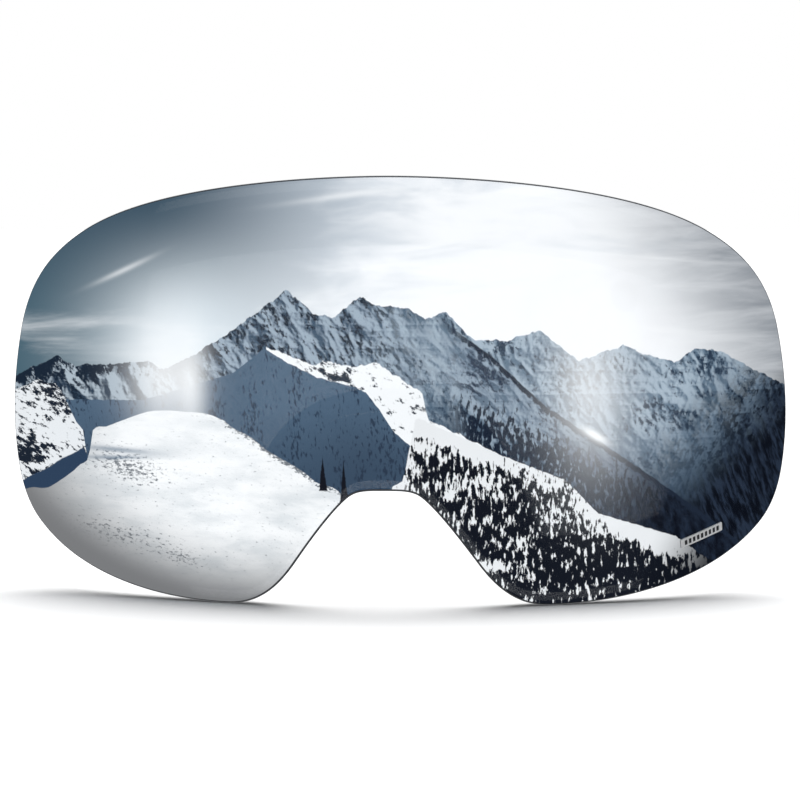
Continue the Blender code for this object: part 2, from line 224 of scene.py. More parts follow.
class Wire:
    """A shader socket that goes into sums like a number. Each sum adds its Math nodes."""

    def __init__(self, tree, socket=None):
        self.tree = tree
        self.socket = socket

    def node(self, kind, settings=None, inputs=None, out=0):
        """Add a node: settings first, then the values or wires of its sockets. Gives one output."""
        made = self.tree.nodes.new("ShaderNode" + kind)
        for name, value in (settings or {}).items():
            if name == "joints":
                made.color_ramp.interpolation = value
            elif name == "stops":
                ramp = made.color_ramp
                ramp.elements.remove(ramp.elements[1])
                ramp.elements[0].position = value[0][0]
                for position, colour in value[1:]:
                    ramp.elements.new(position).color = (*colour, 1)
                ramp.elements[0].color = (*value[0][1], 1)
            else:
                setattr(made, name, value)
        for name, value in (inputs or {}).items():
            if isinstance(value, Wire):
                self.tree.links.new(value.socket, made.inputs[name])
            else:
                made.inputs[name].default_value = value
        return Wire(self.tree, made.outputs[out])

    def math(self, operation, *values):
        return self.node("Math", {"operation": operation}, dict(enumerate(values)))

    def __add__(self, other):
        return self.math("ADD", self, other)

    def __sub__(self, other):
        return self.math("SUBTRACT", self, other)

    def __rsub__(self, other):
        return self.math("SUBTRACT", other, self)

    def __mul__(self, other):
        return self.math("MULTIPLY", self, other)

    def __truediv__(self, other):
        return self.math("DIVIDE", self, other)

    def __pow__(self, other):
        return self.math("POWER", self, other)

    def __abs__(self):
        return self.math("ABSOLUTE", self)

    __radd__ = __add__
    __rmul__ = __mul__

    def between(self, low, high):
        """0 below low and 1 above high, smooth between, and the other way round if low is higher."""
        settings = {"interpolation_type": "SMOOTHSTEP"}
        return self.node("MapRange", settings, {"Value": self, "From Min": low, "From Max": high})

    def blend(self, at_zero, at_one):
        """A colour between two others, by this socket."""
        ends = [end if isinstance(end, Wire) else (*end, 1) for end in (at_zero, at_one)]
        return self.node("Mix", {"data_type": "RGBA"}, {0: self, 6: ends[0], 7: ends[1]}, out=2)

    def noise(self, scale, detail=4, roughness=0.55, kind="FBM", distortion=0):
        """Noise on this vector."""
        inputs = {"Vector": self, "Scale": scale, "Detail": detail, "Roughness": roughness}
        inputs["Distortion"] = distortion
        if kind == "RIDGED_MULTIFRACTAL":
            inputs.update({"Offset": 1, "Gain": 2})
        return self.node("TexNoise", {"noise_type": kind}, inputs)


def finish(name, base=None, roughness=0.5, metallic=0, **fixed):
    """A new material with a Principled shader. Gives the material, its shader and its own wire."""
    made = bpy.data.materials.new(name)
    made.use_nodes = True
    shader = made.node_tree.nodes["Principled BSDF"]
    shader.inputs["Roughness"].default_value = roughness
    shader.inputs["Metallic"].default_value = metallic
    if base:
        shader.inputs["Base Color"].default_value = (*base, 1)
    for label, value in fixed.items():
        shader.inputs[label.replace("_", " ")].default_value = value
    return made, shader, Wire(made.node_tree)


def feed(shader, wire, label):
    wire.tree.links.new(wire.socket, shader.inputs[label])


def grain(shader, height, strength, distance):
    """Raise the surface by a height wire."""
    inputs = {"Height": height, "Strength": strength, "Distance": distance}
    feed(shader, height.node("Bump", None, inputs), "Normal")


def spot_on(wire):
    """The piece's own coordinates."""
    return wire.node("TexCoord", out=3)


def see_through(made, shader, wire, tint, body):
    """Mix the shader with clear passage, so that only its share of body and its glare show."""
    glare = wire.node("Fresnel", None, {"IOR": 1.49})
    solid = glare * (1 - body) + body
    clear = wire.node("BsdfTransparent", None, {"Color": (*tint, 1)})
    mixed = wire.node("MixShader", None, {0: solid, 1: clear, 2: Wire(wire.tree, shader.outputs[0])})
    output = made.node_tree.nodes["Material Output"]
    wire.tree.links.new(mixed.socket, output.inputs["Surface"])


def mirror_finish():
    """Silver with a trace of blue, polished, with a few wiped smears that only dull it a little."""
    made, shader, wire = finish("silver_mirror", metallic=1, Alpha=0.94)
    place = spot_on(wire)
    smear = place.noise(26, 3, 0.5, distortion=1.5).between(0.52, 0.78)
    feed(shader, smear.blend((0.86, 0.885, 0.905), (0.84, 0.86, 0.88)), "Base Color")
    feed(shader, smear * 0.02 + 0.012, "Roughness")
    return made


def cut_edge_finish():
    """Smoked polycarbonate where the mill has cut it: dark, satin, with fine tool lines."""
    made, shader, wire = finish("cut_edge", roughness=0.3, Coat_Weight=0.3)
    place = spot_on(wire)
    stretched = wire.node("Mapping", None, {"Vector": place, "Scale": (1, 1, 14)})
    lines = stretched.noise(900, 2)
    feed(shader, lines.blend((0.012, 0.014, 0.017), (0.05, 0.055, 0.062)), "Base Color")
    feed(shader, lines * 0.25 + 0.2, "Roughness")
    grain(shader, lines, 0.3, 0.00005)
    return made


def smoked_back_finish():
    """The lens's moulded back: clear gloss with the mirror showing through the smoke."""
    made, shader, wire = finish("smoked_back", metallic=0.85, roughness=0.03)
    cloud = spot_on(wire).noise(18, 2).between(0.3, 0.7)
    feed(shader, cloud.blend((0.2, 0.215, 0.235), (0.235, 0.25, 0.27)), "Base Color")
    see_through(made, shader, wire, (0.72, 0.74, 0.76), 0.42)
    return made


def make_outer_lens():
    rim, full = outline(LENS_CHAMFER), outline(0)
    back = LENS_THICKNESS
    loops = [
        (outline(BARE_RIM), 0),
        (rim, 0),
        (full, LENS_CHAMFER),
        (full, back - LENS_CHAMFER),
        (rim, back),
    ]
    finishes = [mirror_finish(), cut_edge_finish(), smoked_back_finish()]
    lens = piece("mirror_lens", plate(loops, [0, 1, 1, 1, 1, 2], LENS_GRID), finishes)
    true_curve(lens, (0, 2))
    settle(lens, "outer_lens")


make_outer_lens()


# ------------------------------------------------------------------ foil badge
# A satin aluminium foil strip, die-cut with round corners and stuck to the mirror at the wearer's
# left cheek. It is printed with a plain row of black ticks.

BADGE_U, BADGE_V, BADGE_TURN = 81.3 * MM, -34.4 * MM, math.radians(17)
BADGE_LENGTH, BADGE_HEIGHT, BADGE_THICKNESS = 13 * MM, 2.1 * MM, 0.1 * MM
BADGE_GAP = 0.06 * MM
BADGE_CORNER = 0.2 * MM
TICKS, TICK_SIZE, TICK_PITCH = 9, Vector((0.75, 1.2, 0.02)) * MM, 1.25 * MM


def seat(u, v, depth, heading):
    """A frame on the sheet: X along the heading, Z straight back."""
    place = sheet(u, v, depth)
    back = straight_back(place)
    turn, tilt = u / WRAP_RADIUS, v / RISE_RADIUS
    along = Vector((math.cos(turn), math.sin(turn), 0))
    squeeze = (WRAP_RADIUS - RISE_RADIUS + RISE_RADIUS * math.cos(tilt)) / WRAP_RADIUS
    up = along.cross(back)
    x_axis = (along * math.cos(heading) * squeeze + up * math.sin(heading)).normalized()
    return Matrix.Translation(place) @ Matrix((x_axis, back.cross(x_axis), back)).transposed().to_4x4()


def rounded_strip(centre, length, height, corner, turn):
    """The flat outline of a strip with round corners."""
    along = Vector((math.cos(turn), math.sin(turn)))
    up = Vector((-along.y, along.x))
    points = []
    for across, rise, start in ((1, 1, 0), (-1, 1, 90), (-1, -1, 180), (1, -1, 270)):
        pivot = centre + along * across * (length / 2 - corner) + up * rise * (height / 2 - corner)
        for step in range(7):
            bend = math.radians(start + 15 * step) + turn
            points.append(pivot + Vector((math.cos(bend), math.sin(bend))) * corner)
    return points


def make_badge():
    foil, shader, wire = finish("badge_foil", metallic=0.2, roughness=0.4)
    brushed = wire.node("Mapping", None, {"Vector": spot_on(wire), "Scale": (1, 1, 8)}).noise(2500, 3)
    feed(shader, brushed.blend((0.62, 0.63, 0.64), (0.82, 0.82, 0.82)), "Base Color")
    feed(shader, brushed * 0.2 + 0.3, "Roughness")
    ink, shader, wire = finish("badge_ink", roughness=0.45)
    mottle = spot_on(wire).noise(4000, 2)
    feed(shader, mottle.blend((0.008, 0.008, 0.01), (0.03, 0.03, 0.034)), "Base Color")
    centre = Vector((BADGE_U, BADGE_V))
    strip = rounded_strip(centre, BADGE_LENGTH, BADGE_HEIGHT, BADGE_CORNER, BADGE_TURN)
    loops = [(strip, -BADGE_GAP - BADGE_THICKNESS), (strip, -BADGE_GAP)]
    badge = piece("foil_badge", plate(loops, [0, 0, 0], 1 * MM), [foil])
    settle(badge, "corner_badge")
    face = -BADGE_GAP - BADGE_THICKNESS - TICK_SIZE.z
    along = Vector((math.cos(BADGE_TURN), math.sin(BADGE_TURN)))
    flat = bmesh.new()
    for tick in range(TICKS):
        middle = centre + along * (tick - (TICKS - 1) / 2) * TICK_PITCH
        mark = rounded_strip(middle, TICK_SIZE.x, TICK_SIZE.y, 0.1 * MM, BADGE_TURN)
        rows = drawn_rows(flat, [(mark, face), (mark, face + TICK_SIZE.z * 0.9)])
        flat.faces.new(rows[0])
        flat.faces.new(rows[1])
        bands(flat, rows, [0])
    to_sheet(flat)
    settle(piece("badge_ticks", flat, [ink]))


make_badge()


# ------------------------------------------------------------------ tape between lens and carrier
# Black acrylic foam tape, die-cut as one ring, that bonds the carrier to the back of the lens.

BOND_FRONT, BOND_TAPE = LENS_THICKNESS + FILM_GAP, 0.3 * MM
CARRIER_INSET, CARRIER_WIDTH, BOND_MARGIN = 1.8 * MM, 7.2 * MM, 0.8 * MM


def tape_ring(name, outer, inner, front, back, shares, node, finishes):
    """A flat ring from outer to inner inset, with its own share of the nose rise on each side."""
    section = ((outer, shares[0], front), (inner, shares[1], front))
    section += ((inner, shares[1], back), (outer, shares[0], back))
    made = piece(name, ring([(outline(inset, share), depth) for inset, share, depth in section]), finishes)
    settle(made, node)
    return made


def make_bond_tape():
    foam, shader, wire = finish("black_foam_tape", roughness=0.75)
    cells = spot_on(wire).noise(3500, 3)
    feed(shader, cells.blend((0.012, 0.012, 0.012), (0.035, 0.035, 0.035)), "Base Color")
    grain(shader, cells, 0.5, 0.00005)
    inner = CARRIER_INSET + CARRIER_WIDTH - BOND_MARGIN
    outer = CARRIER_INSET + BOND_MARGIN
    back = BOND_FRONT + BOND_TAPE
    tape_ring("bond_tape", outer, inner, BOND_FRONT, back, (0, 1), "carrier_bond_tape", [foam])


make_bond_tape()


# ------------------------------------------------------------------ magnet carrier
# A ring moulded in black glass-filled nylon that follows the lens's edge and widens over the nose. A
# ribbed channel runs round its back, with a boss for each magnet and for each lug.

CARRIER_FRONT = BOND_FRONT + BOND_TAPE + FILM_GAP
CARRIER_BACK = 7.6 * MM
CARRIER_ROUND = 0.5 * MM
CARRIER_LIP, LIP_THICKNESS = 0.65 * MM, 0.5 * MM
CHANNEL_WALL, CHANNEL_DEPTH = 1.0 * MM, 2.2 * MM
CARRIER_MIDDLE = CARRIER_INSET + CARRIER_WIDTH / 2
MAGNET, POCKET_PLAY = Vector((10, 4, 2)) * MM, 0.15 * MM
MAGNET_PLACES = {
    "brow_inner": 0.085,
    "brow_outer": 0.255,
    "temple_upper": 0.415,
    "temple_lower": 0.53,
    "cheek": 0.69,
    "nose": 0.885,
}
BROW_PEG_PLACE, BROW_PEG_RADIUS, BROW_PEG_HEIGHT = 0.17, 1.6 * MM, 2.2 * MM
TEMPLE_HOOK_PLACE, TEMPLE_HOOK = 0.473, Vector((9, 2.4, 3.0)) * MM
NOSE_TAB, NOSE_TAB_INSET = Vector((11, 2.2, 2.4)) * MM, 5.5 * MM
RIB, RIB_PITCH = Vector((0.8, 5.5, 1.5)) * MM, 4.2 * MM
BOSS_LENGTH, PEG_BOSS_LENGTH = 13.2 * MM, 5.4 * MM


def fitting_place(share):
    """The (u, v) point on the carrier's middle line at a share of the half edge, and its heading."""
    wanted = share * FITTING_EDGE[-1][2]
    index = next(i for i, station in enumerate(FITTING_EDGE) if station[2] >= wanted)
    before, after = FITTING_EDGE[index - 1], FITTING_EDGE[index]
    part = (wanted - before[2]) / (after[2] - before[2])
    turn = (after[1] - before[1] + math.pi) % (2 * math.pi) - math.pi
    ends = [inset_point(FITTING_EDGE, i, CARRIER_MIDDLE) for i in (index - 1, index)]
    return ends[0].lerp(ends[1], part), before[1] + turn * part


def fitting_seats(share, depth):
    """The frames on both sides of the face."""
    point, heading = fitting_place(share)
    left = seat(point.x, point.y, depth, heading)
    right = seat(-point.x, point.y, depth, math.pi - heading)
    return left, right


def add_block(solid, size, at, soften):
    """A block with softened edges, centred on a frame."""
    made = bmesh.ops.create_cube(solid, size=1, matrix=at @ Matrix.Diagonal((*size, 1)))
    edges = list({edge for vert in made["verts"] for edge in vert.link_edges})
    bmesh.ops.bevel(solid, geom=edges, offset=soften, segments=2, affect="EDGES", clamp_overlap=True)


def nylon_finish():
    """Spark-eroded black nylon: fine grit, a few paler flow marks and a slight shine on its high spots."""
    made, shader, wire = finish("black_nylon", Specular_IOR_Level=0.45)
    place = spot_on(wire)
    flow = place.noise(60, 4, 0.6, distortion=2).between(0.35, 0.75)
    grit = place.noise(4200, 3, 0.7)
    feed(shader, (flow * 0.7 + grit * 0.3).blend((0.013, 0.013, 0.014), (0.044, 0.044, 0.047)), "Base Color")
    feed(shader, grit * 0.25 + flow * 0.12 + 0.36, "Roughness")
    grain(shader, grit, 0.45, 0.00008)
    return made


def carrier_ring():
    """The moulding's own section: round corners, a lip at the gasket and a channel in its back."""
    outer, inner = CARRIER_INSET, CARRIER_INSET + CARRIER_WIDTH
    front, back, soft = CARRIER_FRONT, CARRIER_BACK, CARRIER_ROUND
    floor = back - CHANNEL_DEPTH
    draft = 0.15 * MM
    near, far = outer + CHANNEL_WALL, inner - CHANNEL_WALL
    bend = soft * (1 - math.sqrt(0.5))
    tip, ledge = inner + CARRIER_LIP, front + LIP_THICKNESS
    section = [  # inset, share of the nose rise, depth
        (outer + soft, 0, front),
        (tip - draft, 1, front),
        (tip, 1, front + draft),
        (tip, 1, ledge - draft),
        (tip - draft, 1, ledge),
        (inner, 1, ledge + draft),
        (inner, 1, back - soft),
        (inner - bend, 1, back - bend),
        (inner - soft, 1, back),
        (far + draft, 0, back),
        (far, 0, back - draft),
        (far - draft, 0, floor + draft),
        (far - 3 * draft, 0, floor),
        (near + 3 * draft, 0, floor),
        (near + draft, 0, floor + draft),
        (near, 0, back - draft),
        (near - draft, 0, back),
        (outer + soft, 0, back),
        (outer + bend, 0, back - bend),
        (outer, 0, back - soft),
        (outer, 0, front + soft),
        (outer + bend, 0, front + bend),
    ]
    return ring([(outline(inset, share), depth) for inset, share, depth in section])


def add_bosses(solid):
    """Pocket walls round each magnet, and a solid boss under each lug, sunk in the channel's floor."""
    floor = CARRIER_BACK - CHANNEL_DEPTH - 0.3 * MM
    height = CARRIER_BACK - floor - 0.05 * MM
    width = CARRIER_WIDTH - 1.4 * CHANNEL_WALL
    middle = (floor + CARRIER_BACK - 0.05 * MM) / 2
    play = POCKET_PLAY
    end_wall = (BOSS_LENGTH - MAGNET.x) / 2 - play
    side_wall = (width - MAGNET.y) / 2 - play
    for share in MAGNET_PLACES.values():
        for at in fitting_seats(share, middle):
            for way in (1, -1):
                shift = Matrix.Translation((way * (MAGNET.x / 2 + play + end_wall / 2), 0, 0))
                add_block(solid, (end_wall, width, height), at @ shift, 0.12 * MM)
                shift = Matrix.Translation((0, way * (MAGNET.y / 2 + play + side_wall / 2), 0))
                add_block(solid, (BOSS_LENGTH - end_wall, side_wall, height), at @ shift, 0.12 * MM)
    for share, length in ((BROW_PEG_PLACE, PEG_BOSS_LENGTH), (TEMPLE_HOOK_PLACE, TEMPLE_HOOK.x + 2 * MM)):
        for at in fitting_seats(share, middle):
            add_block(solid, (length, width, height), at, 0.15 * MM)
    nose = Vector(HALF_EDGE[-1][:2]) * MM + Vector((0, CARRIER_MIDDLE))
    add_block(solid, (NOSE_TAB.x + 2 * MM, width, height), seat(nose.x, nose.y, middle, 0), 0.15 * MM)


def add_lugs(solid):
    """Locating pegs at the brow, hooks at the temples and the tab over the nose."""
    root = 0.6 * MM
    for at in fitting_seats(BROW_PEG_PLACE, CARRIER_BACK - root + (BROW_PEG_HEIGHT + root) / 2):
        made = bmesh.ops.create_cone(
            solid, cap_ends=True, segments=48, radius1=BROW_PEG_RADIUS, radius2=BROW_PEG_RADIUS * 0.85,
            depth=BROW_PEG_HEIGHT + root, matrix=at,
        )
        tip = at.translation + at.to_3x3() @ Vector((0, 0, BROW_PEG_HEIGHT / 2))
        rims = {edge for vert in made["verts"] for edge in vert.link_edges}
        rims = [edge for edge in rims if all((v.co - tip).length < 2.2 * MM for v in edge.verts)]
        rims = [edge for edge in rims if max(len(face.verts) for face in edge.link_faces) > 4]
        bmesh.ops.bevel(solid, geom=rims, offset=0.4 * MM, segments=4, affect="EDGES")
    height = TEMPLE_HOOK.z + root
    for at in fitting_seats(TEMPLE_HOOK_PLACE, CARRIER_BACK - root + height / 2):
        add_block(solid, (TEMPLE_HOOK.x, TEMPLE_HOOK.y, height), at, 0.35 * MM)
        catch = at @ Matrix.Translation((0, 0, height / 2 - 0.55 * MM))
        add_block(solid, (TEMPLE_HOOK.x - 1.6 * MM, TEMPLE_HOOK.y + 0.7 * MM, 0.8 * MM), catch, 0.25 * MM)
    height = NOSE_TAB.z + root
    nose = Vector(HALF_EDGE[-1][:2]) * MM + Vector((0, NOSE_TAB_INSET))
    at = seat(nose.x, nose.y, CARRIER_BACK - root + height / 2, 0)
    add_block(solid, (NOSE_TAB.x, NOSE_TAB.y, height), at, 0.4 * MM)


def row_tree():
    """Geometry nodes that set copies of a small piece along a path, square to the sheet."""
    tree = bpy.data.node_groups.new("row_on_path", "GeometryNodeTree")
    for label, kind in (
        ("Path", "NodeSocketGeometry"),
        ("Piece", "NodeSocketObject"),
        ("Pitch", "NodeSocketFloat"),
        ("Finish", "NodeSocketMaterial"),
    ):
        tree.interface.new_socket(name=label, in_out="INPUT", socket_type=kind)
    tree.interface.new_socket(name="Row", in_out="OUTPUT", socket_type="NodeSocketGeometry")
    add = tree.nodes.new
    given, result = add("NodeGroupInput"), add("NodeGroupOutput")
    curve, resample = add("GeometryNodeMeshToCurve"), add("GeometryNodeResampleCurve")
    resample.mode = "LENGTH"
    tangent, facing = add("GeometryNodeInputTangent"), add("FunctionNodeAxesToRotation")
    facing.primary_axis, facing.secondary_axis = "Z", "X"
    back, free = add("GeometryNodeInputNamedAttribute"), add("GeometryNodeInputNamedAttribute")
    back.data_type, free.data_type = "FLOAT_VECTOR", "FLOAT"
    back.inputs["Name"].default_value = "back"
    free.inputs["Name"].default_value = "free"
    clear = add("FunctionNodeCompare")
    clear.inputs[1].default_value = 0.5
    info, place = add("GeometryNodeObjectInfo"), add("GeometryNodeInstanceOnPoints")
    real, paint = add("GeometryNodeRealizeInstances"), add("GeometryNodeSetMaterial")
    for start, end in (
        (given.outputs["Path"], curve.inputs["Mesh"]),
        (curve.outputs["Curve"], resample.inputs["Curve"]),
        (given.outputs["Pitch"], resample.inputs["Length"]),
        (resample.outputs["Curve"], place.inputs["Points"]),
        (tangent.outputs["Tangent"], facing.inputs["Secondary Axis"]),
        (back.outputs["Attribute"], facing.inputs["Primary Axis"]),
        (facing.outputs["Rotation"], place.inputs["Rotation"]),
        (free.outputs["Attribute"], clear.inputs[0]),
        (clear.outputs["Result"], place.inputs["Selection"]),
        (given.outputs["Piece"], info.inputs["Object"]),
        (info.outputs["Geometry"], place.inputs["Instance"]),
        (place.outputs["Instances"], real.inputs["Geometry"]),
        (real.outputs["Geometry"], paint.inputs["Geometry"]),
        (given.outputs["Finish"], paint.inputs["Material"]),
        (paint.outputs["Geometry"], result.inputs["Row"]),
    ):
        tree.links.new(start, end)
    return tree


def grown(name, guide, tree, settings, helpers=()):
    """Run a tree on a guide object and keep only its result, as a plain mesh object."""
    change = guide.modifiers.new("grow", "NODES")
    change.node_group = tree
    sockets = {item.name: item.identifier for item in tree.interface.items_tree if item.in_out == "INPUT"}
    for label, value in settings.items():
        change[sockets[label]] = value
    bpy.context.view_layer.update()
    result = guide.evaluated_get(bpy.context.evaluated_depsgraph_get())
    mesh = bpy.data.meshes.new_from_object(result)
    made = bpy.data.objects.new(name, mesh)
    bpy.context.collection.objects.link(made)
    for used in (guide, *helpers):
        bpy.data.objects.remove(used, do_unlink=True)
    mesh.shade_smooth()
    mesh.set_sharp_from_angle(angle=math.radians(32))
    return made


def path_guide(inset, depth, keep_clear):
    """A closed line of points round the sheet, each with its back direction and whether it is free."""
    flat = outline(inset)
    places = [sheet(point.x, point.y, depth) for point in flat]
    mesh = bpy.data.meshes.new("path")
    edges = [(i, (i + 1) % len(places)) for i in range(len(places))]
    mesh.from_pydata(places, edges, [])
    back = mesh.attributes.new("back", "FLOAT_VECTOR", "POINT")
    back.data.foreach_set("vector", [part for place in places for part in straight_back(place)])
    free = mesh.attributes.new("free", "FLOAT", "POINT")
    for mark, place in zip(free.data, places):
        mark.value = all((place - spot).length > room for spot, room in keep_clear)
    guide = bpy.data.objects.new("path", mesh)
    bpy.context.collection.objects.link(guide)
    return guide


def make_carrier():
    nylon = nylon_finish()
    body = carrier_ring()
    add_bosses(body)
    add_lugs(body)
    carrier = piece("magnet_carrier_moulding", body, [nylon])
    settle(carrier, "magnet_carrier")
    rib = bmesh.new()
    add_block(rib, RIB, Matrix(), 0.15 * MM)
    rib = piece("rib", rib, [nylon])
    depth = CARRIER_BACK - CHANNEL_DEPTH + RIB.z / 2 - 0.1 * MM
    half_boss, half_peg = BOSS_LENGTH / 2 + 1.2 * MM, PEG_BOSS_LENGTH / 2 + 1.2 * MM
    busy = [(at.translation, half_peg) for at in fitting_seats(BROW_PEG_PLACE, depth)]
    for share in (TEMPLE_HOOK_PLACE, *MAGNET_PLACES.values()):
        busy += [(at.translation, half_boss) for at in fitting_seats(share, depth)]
    nose = Vector(HALF_EDGE[-1][:2]) * MM + Vector((0, CARRIER_MIDDLE))
    busy.append((sheet(nose.x, nose.y, depth), half_boss))
    guide = path_guide(CARRIER_MIDDLE, depth, busy)
    settings = {"Piece": rib, "Pitch": RIB_PITCH, "Finish": nylon}
    ribs = grown("carrier_ribs", guide, row_tree(), settings, (rib,))
    settle(ribs)


make_carrier()


# ------------------------------------------------------------------ magnets
# Twelve block magnets, sintered and nickel-plated, pressed into the carrier's pockets and standing a
# hair proud so that they meet the goggle's own steel seats.


def make_magnets():
    nickel, shader, wire = finish("nickel_plate", metallic=1)
    place = spot_on(wire)
    haze = place.noise(420, 4, 0.6).between(0.35, 0.7)
    scuff = place.noise(1500, 2, 0.5, distortion=3).between(0.6, 0.72)
    feed(shader, haze.blend((0.74, 0.71, 0.65), (0.58, 0.555, 0.51)), "Base Color")
    feed(shader, haze * 0.12 + scuff * 0.15 + 0.14, "Roughness")
    grain(shader, place.noise(2600, 3), 0.12, 0.00003)
    for name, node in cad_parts.items():
        if name.startswith("magnet_") and name != "magnet_carrier":
            for holder in node.material_slots:
                holder.material = nickel


make_magnets()


# ------------------------------------------------------------------ spacer gasket and its tapes
# Closed-cell foam, skived to 4 mm and die-cut as one ring, with a strip of clear transfer tape on
# each side. It holds the lenses apart and seals the dry air between them.

GASKET_INSET, GASKET_WIDTH, GASKET_THICKNESS = 9.8 * MM, 5.0 * MM, 4.0 * MM
GASKET_TAPE = 0.2 * MM
GASKET_FRONT = LENS_THICKNESS + GASKET_TAPE + 2 * FILM_GAP
GASKET_BACK = GASKET_FRONT + GASKET_THICKNESS
GASKET_SWELL = 0.15 * MM  # how far its cut sides stand out where the lenses squeeze it
FOAM_CELLS, CELL_SIZE = 26000, 0.13 * MM


def scatter_tree():
    """Geometry nodes that scatter small cells, of several sizes, over a surface."""
    tree = bpy.data.node_groups.new("open_cells", "GeometryNodeTree")
    for label, kind in (
        ("Surface", "NodeSocketGeometry"),
        ("Density", "NodeSocketFloat"),
        ("Size", "NodeSocketFloat"),
        ("Seed", "NodeSocketInt"),
        ("Finish", "NodeSocketMaterial"),
    ):
        tree.interface.new_socket(name=label, in_out="INPUT", socket_type=kind)
    tree.interface.new_socket(name="Cells", in_out="OUTPUT", socket_type="NodeSocketGeometry")
    add = tree.nodes.new
    given, result = add("NodeGroupInput"), add("NodeGroupOutput")
    spread, cell = add("GeometryNodeDistributePointsOnFaces"), add("GeometryNodeMeshIcoSphere")
    cell.inputs["Subdivisions"].default_value = 1
    size, place = add("FunctionNodeRandomValue"), add("GeometryNodeInstanceOnPoints")
    size.inputs[2].default_value, size.inputs[3].default_value = 0.5, 1.4
    real, paint = add("GeometryNodeRealizeInstances"), add("GeometryNodeSetMaterial")
    for start, end in (
        (given.outputs["Surface"], spread.inputs["Mesh"]),
        (given.outputs["Density"], spread.inputs["Density"]),
        (given.outputs["Seed"], spread.inputs["Seed"]),
        (given.outputs["Size"], cell.inputs["Radius"]),
        (spread.outputs["Points"], place.inputs["Points"]),
        (spread.outputs["Rotation"], place.inputs["Rotation"]),
        (cell.outputs["Mesh"], place.inputs["Instance"]),
        (size.outputs[1], place.inputs["Scale"]),
        (place.outputs["Instances"], real.inputs["Geometry"]),
        (real.outputs["Geometry"], paint.inputs["Geometry"]),
        (given.outputs["Finish"], paint.inputs["Material"]),
        (paint.outputs["Geometry"], result.inputs["Cells"]),
    ):
        tree.links.new(start, end)
    return tree


def make_gasket():
    foam, shader, wire = finish("black_foam", roughness=0.9, Sheen_Weight=0.15)
    place = spot_on(wire)
    cells = place.node("TexVoronoi", None, {"Vector": place, "Scale": 2600})
    tone = place.noise(300, 3)
    feed(shader, (cells * 0.6 + tone * 0.4).blend((0.010, 0.010, 0.011), (0.05, 0.05, 0.053)), "Base Color")
    grain(shader, cells, 0.8, 0.00012)
    outer, inner = GASKET_INSET, GASKET_INSET + GASKET_WIDTH
    section = [(outer, GASKET_FRONT), (inner, GASKET_FRONT)]
    for step in (1, 2, 3):
        swell = GASKET_SWELL * math.sin(math.pi * step / 4)
        section.append((inner + swell, GASKET_FRONT + GASKET_THICKNESS * step / 4))
    section += [(inner, GASKET_BACK), (outer, GASKET_BACK)]
    for step in (3, 2, 1):
        swell = GASKET_SWELL * math.sin(math.pi * step / 4)
        section.append((outer - swell, GASKET_FRONT + GASKET_THICKNESS * step / 4))
    body = ring([(outline(inset, 1), depth) for inset, depth in section])
    gasket = piece("foam_gasket", body, [foam], sharp=60)
    settle(gasket, "spacer_gasket")
    side = bmesh.new()
    cut = outline(inner + 0.1 * MM, 1)
    rows = drawn_rows(side, [(cut, GASKET_FRONT + GASKET_THICKNESS * part / 6) for part in range(1, 6)])
    bands(side, rows, [0] * 4)
    for vert in side.verts:
        vert.co = sheet(*vert.co)
    guide = piece("gasket_side", side, [foam])
    area = sum(polygon.area for polygon in guide.data.polygons)
    settings = {"Density": FOAM_CELLS / 4 / area, "Size": CELL_SIZE, "Seed": 7, "Finish": foam}
    settle(grown("foam_cut_cells", guide, scatter_tree(), settings))


def make_gasket_tapes():
    tape, shader, wire = finish("transfer_tape", roughness=0.35)
    streak = spot_on(wire).noise(500, 3)
    feed(shader, streak.blend((0.50, 0.48, 0.42), (0.66, 0.64, 0.58)), "Base Color")
    feed(shader, streak * 0.2 + 0.25, "Roughness")
    inner = GASKET_INSET + GASKET_WIDTH
    front = LENS_THICKNESS + FILM_GAP
    rear = GASKET_BACK + FILM_GAP
    for name, start in (("gasket_front_tape", front), ("gasket_rear_tape", rear)):
        back = start + GASKET_TAPE
        tape_ring(name + "_film", GASKET_INSET, inner, start, back, (1, 1), name, [tape])


make_gasket()
make_gasket_tapes()


# ------------------------------------------------------------------ inner lens
# A 1 mm acetate sheet, formed over a block to the same sweep and trimmed with a knife. The face side
# has a hydrophilic anti-fog skin, and a 1.6 mm hole lets the sealed space breathe.

INNER_INSET, INNER_THICKNESS = 9.6 * MM, 1.0 * MM
INNER_FRONT = GASKET_BACK + GASKET_TAPE + 2 * FILM_GAP
INNER_BACK = INNER_FRONT + INNER_THICKNESS
VENT_U, VENT_V, VENT_HOLE_RADIUS = 62 * MM, 23 * MM, 0.8 * MM


